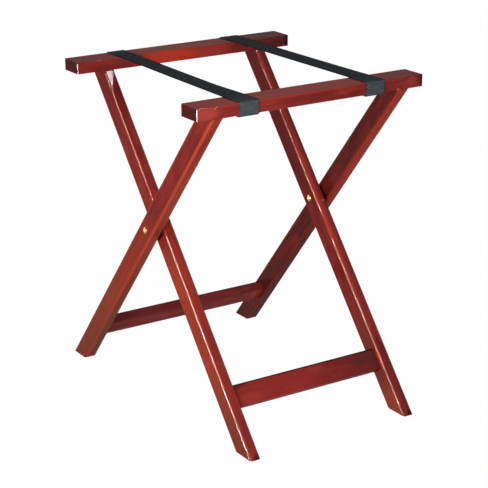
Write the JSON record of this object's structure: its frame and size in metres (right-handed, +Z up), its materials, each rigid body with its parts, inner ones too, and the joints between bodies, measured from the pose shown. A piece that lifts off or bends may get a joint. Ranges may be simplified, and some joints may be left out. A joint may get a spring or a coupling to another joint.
{
  "type": "folding luggage rack",
  "caption": "Folding wooden luggage rack: two crossing frames on pivots, flat top rails, low stretchers and webbing straps that hold it open.",
  "frame": {"origin": "on the floor, midway between the four feet and straight under the pivot axis", "axes": "+X along the rails, from left to right seen from the front; +Y from the front rail to the rear rail; +Z up"},
  "size_m": [0.591, 0.7804, 0.7819],
  "materials": {
    "lacquered_wood": "gloss mahogany-red lacquer on straight-grained hardwood",
    "webbing": "black woven webbing, 50 mm",
    "brass": "brass-plated steel, polished",
    "nylon": "black moulded nylon",
    "dowel_wood": "plain beech dowel",
    "staple_steel": "zinc-plated wire"
  },
  "bodies": {
    "outer_frame": {"front_rail": "lacquered_wood", "front_rail_dowels": "dowel_wood", "outer_leg_left": "lacquered_wood", "outer_leg_right": "lacquered_wood", "rear_stretcher": "lacquered_wood", "rear_stretcher_dowels": "dowel_wood", "pivot_barrels": "brass", "pivot_screws": "brass", "pivot_spacers": "nylon", "left_strap_front_end": "webbing", "right_strap_front_end": "webbing", "left_strap_span": "webbing", "right_strap_span": "webbing", "front_staples": "staple_steel"},
    "inner_frame": {"rear_rail": "lacquered_wood", "rear_rail_dowels": "dowel_wood", "inner_leg_left": "lacquered_wood", "inner_leg_right": "lacquered_wood", "front_stretcher": "lacquered_wood", "front_stretcher_dowels": "dowel_wood", "left_strap_rear_end": "webbing", "right_strap_rear_end": "webbing", "rear_staples": "staple_steel"}
  },
  "joints": [
    {"name": "fold", "type": "hinge", "parent": "outer_frame", "child": "inner_frame", "pos_m": [0, 0, 0.43], "axis": [1, 0, 0], "range_deg": [0, 65], "deforming": ["left_strap_span", "right_strap_span"]}
  ]
}
